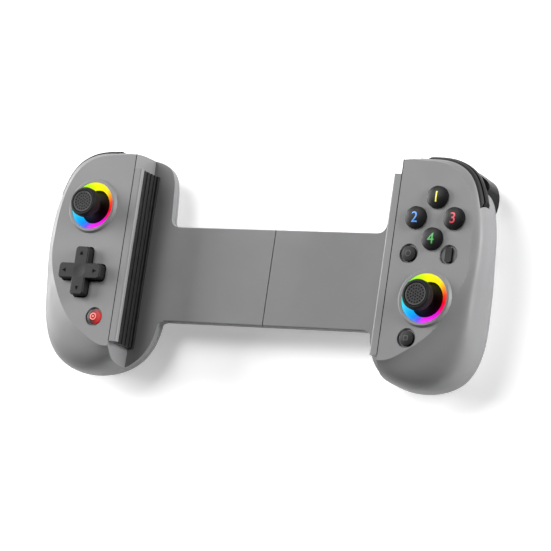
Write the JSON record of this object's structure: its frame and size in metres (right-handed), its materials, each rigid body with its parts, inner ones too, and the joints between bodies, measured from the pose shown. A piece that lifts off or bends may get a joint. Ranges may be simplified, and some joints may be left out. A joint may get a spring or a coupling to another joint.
{
  "type": "telescopic game controller for a phone",
  "caption": "Telescopic two-handed game controller that clamps a phone between its grips, with thumbsticks, a direction pad, buttons, bumpers and triggers.",
  "frame": {"origin": "under the middle of the closed controller, on the surface that it lies on", "axes": "+X along its length to the grip with the face buttons, +Y towards the bumpers and triggers, +Z out of the face towards the player"},
  "size_m": [0.2172, 0.1001, 0.0395],
  "materials": {
    "shell_grey": "fine matte",
    "core_grey": "satin",
    "grip_rubber": "matte",
    "mat_rubber": "matte",
    "stick_rubber": "matte, textured top",
    "face_button": "gloss",
    "button_black": "satin",
    "shoulder_black": "satin gloss",
    "mechanism_black": "satin",
    "light_ring": "clear, lit in the colours of the rainbow",
    "circuit_board": "satin",
    "steel": "plain",
    "battery_wrap": "satin"
  },
  "bodies": {
    "left_grip": {"front_cover_left": "shell_grey", "rear_cover_left": "shell_grey", "clamp_lip_left": "shell_grey", "clamp_pad_left": "grip_rubber", "circuit_board_left": "circuit_board", "cover_screws_left": "steel", "trigger_pin_left": "steel", "trigger_spring_left": "steel", "stick_base_left": "mechanism_black", "light_ring_left": "light_ring", "lamp_board_left": "circuit_board", "button_mat_left": "mat_rubber", "pad_post": "mechanism_black", "battery": "battery_wrap"},
    "bridge_core": {"core_plate": "core_grey", "tension_spring_left": "steel", "tension_spring_right": "steel"},
    "right_grip": {"front_cover_right": "shell_grey", "rear_cover_right": "shell_grey", "clamp_lip_right": "shell_grey", "clamp_pad_right": "grip_rubber", "circuit_board_right": "circuit_board", "cover_screws_right": "steel", "trigger_pin_right": "steel", "trigger_spring_right": "steel", "stick_base_right": "mechanism_black", "light_ring_right": "light_ring", "lamp_board_right": "circuit_board", "button_mat_right": "mat_rubber", "charging_socket": "steel"},
    "ball": {"pad_ball": "mechanism_black"},
    "pad": {"direction_pad": "button_black"},
    "button_lit": {"lit_button": "button_black"},
    "button_round_upper": {"round_button_upper": "button_black"},
    "button_round_lower": {"round_button_lower": "button_black"},
    "button_key": {"key_button": "button_black"},
    "button_top": {"face_button_top": "face_button"},
    "button_left": {"face_button_left": "face_button"},
    "button_right": {"face_button_right": "face_button"},
    "button_bottom": {"face_button_bottom": "face_button"},
    "ring_left": {"stick_ring_left": "mechanism_black"},
    "rocker_left": {"stick_rocker_left": "mechanism_black"},
    "stick_left": {"stick_shaft_left": "steel", "stick_cap_left": "stick_rubber"},
    "bumper_left": {"bumper_left": "shoulder_black"},
    "trigger_left": {"trigger_left": "shoulder_black"},
    "ring_right": {"stick_ring_right": "mechanism_black"},
    "rocker_right": {"stick_rocker_right": "mechanism_black"},
    "stick_right": {"stick_shaft_right": "steel", "stick_cap_right": "stick_rubber"},
    "bumper_right": {"bumper_right": "shoulder_black"},
    "trigger_right": {"trigger_right": "shoulder_black"}
  },
  "joints": [
    {"name": "left_half_slide", "type": "slide", "parent": "left_grip", "child": "bridge_core", "axis": [1, 0, 0], "range_m": [0, 0.0375], "stiffness_N_per_m": 150, "springref_m": -0.03, "deforming": ["tension_spring_left"]},
    {"name": "right_half_slide", "type": "slide", "parent": "bridge_core", "child": "right_grip", "axis": [1, 0, 0], "range_m": [0, 0.0375], "stiffness_N_per_m": 150, "springref_m": -0.03, "deforming": ["tension_spring_right"]},
    {"name": "left_stick_sideways", "type": "hinge", "parent": "left_grip", "child": "ring_left", "pos_m": [-0.086, 0.0234, 0.02], "axis": [0, 1, 0], "range_deg": [-15, 15], "stiffness_Nm_per_rad": 0.04},
    {"name": "left_stick_lengthways", "type": "hinge", "parent": "ring_left", "child": "rocker_left", "pos_m": [-0.086, 0.0234, 0.02], "axis": [1, 0, 0], "range_deg": [-15, 15], "stiffness_Nm_per_rad": 0.04},
    {"name": "left_stick_press", "type": "slide", "parent": "rocker_left", "child": "stick_left", "axis": [0, 0, -1], "range_m": [0, 0.0005], "stiffness_N_per_m": 3000, "springref_m": -0.0005},
    {"name": "left_bumper_press", "type": "hinge", "parent": "left_grip", "child": "bumper_left", "pos_m": [-0.07889, 0.04412, 0.02655], "axis": [0, 0, 1], "range_deg": [0, 2], "stiffness_Nm_per_rad": 0.4, "springref_deg": -1.72},
    {"name": "left_trigger_pull", "type": "hinge", "parent": "left_grip", "child": "trigger_left", "pos_m": [-0.07805, 0.04263, 0.0176], "axis": [-0.9273, -0.3744, 0], "range_deg": [0, 12], "stiffness_Nm_per_rad": 0.1, "springref_deg": -5.73},
    {"name": "right_stick_sideways", "type": "hinge", "parent": "right_grip", "child": "ring_right", "pos_m": [0.086, -0.0124, 0.02], "axis": [0, 1, 0], "range_deg": [-15, 15], "stiffness_Nm_per_rad": 0.04},
    {"name": "right_stick_lengthways", "type": "hinge", "parent": "ring_right", "child": "rocker_right", "pos_m": [0.086, -0.0124, 0.02], "axis": [1, 0, 0], "range_deg": [-15, 15], "stiffness_Nm_per_rad": 0.04},
    {"name": "right_stick_press", "type": "slide", "parent": "rocker_right", "child": "stick_right", "axis": [0, 0, -1], "range_m": [0, 0.0005], "stiffness_N_per_m": 3000, "springref_m": -0.0005},
    {"name": "right_bumper_press", "type": "hinge", "parent": "right_grip", "child": "bumper_right", "pos_m": [0.07889, 0.04412, 0.02655], "axis": [0, 0, -1], "range_deg": [0, 2], "stiffness_Nm_per_rad": 0.4, "springref_deg": -1.72},
    {"name": "right_trigger_pull", "type": "hinge", "parent": "right_grip", "child": "trigger_right", "pos_m": [0.07805, 0.04263, 0.0176], "axis": [-0.9273, 0.3744, 0], "range_deg": [0, 12], "stiffness_Nm_per_rad": 0.1, "springref_deg": -5.73},
    {"name": "pad_rock_lengthways", "type": "hinge", "parent": "left_grip", "child": "ball", "pos_m": [-0.0856, -0.007, 0.026], "axis": [1, 0, 0], "range_deg": [-4, 4], "stiffness_Nm_per_rad": 0.1},
    {"name": "pad_rock_sideways", "type": "hinge", "parent": "ball", "child": "pad", "pos_m": [-0.0856, -0.007, 0.026], "axis": [0, 1, 0], "range_deg": [-4, 4], "stiffness_Nm_per_rad": 0.1},
    {"name": "top_button_press", "type": "slide", "parent": "right_grip", "child": "button_top", "axis": [0, 0, -1], "range_m": [0, 0.0012], "stiffness_N_per_m": 400, "springref_m": -0.001},
    {"name": "left_button_press", "type": "slide", "parent": "right_grip", "child": "button_left", "axis": [0, 0, -1], "range_m": [0, 0.0012], "stiffness_N_per_m": 400, "springref_m": -0.001},
    {"name": "right_button_press", "type": "slide", "parent": "right_grip", "child": "button_right", "axis": [0, 0, -1], "range_m": [0, 0.0012], "stiffness_N_per_m": 400, "springref_m": -0.001},
    {"name": "bottom_button_press", "type": "slide", "parent": "right_grip", "child": "button_bottom", "axis": [0, 0, -1], "range_m": [0, 0.0012], "stiffness_N_per_m": 400, "springref_m": -0.001},
    {"name": "round_upper_press", "type": "slide", "parent": "right_grip", "child": "button_round_upper", "axis": [0, 0, -1], "range_m": [0, 0.0006], "stiffness_N_per_m": 600, "springref_m": -0.0005},
    {"name": "round_lower_press", "type": "slide", "parent": "right_grip", "child": "button_round_lower", "axis": [0, 0, -1], "range_m": [0, 0.0006], "stiffness_N_per_m": 600, "springref_m": -0.0005},
    {"name": "key_press", "type": "slide", "parent": "right_grip", "child": "button_key", "axis": [0, 0, -1], "range_m": [0, 0.0006], "stiffness_N_per_m": 600, "springref_m": -0.0005},
    {"name": "lit_press", "type": "slide", "parent": "left_grip", "child": "button_lit", "axis": [0, 0, -1], "range_m": [0, 0.0006], "stiffness_N_per_m": 600, "springref_m": -0.0005}
  ]
}
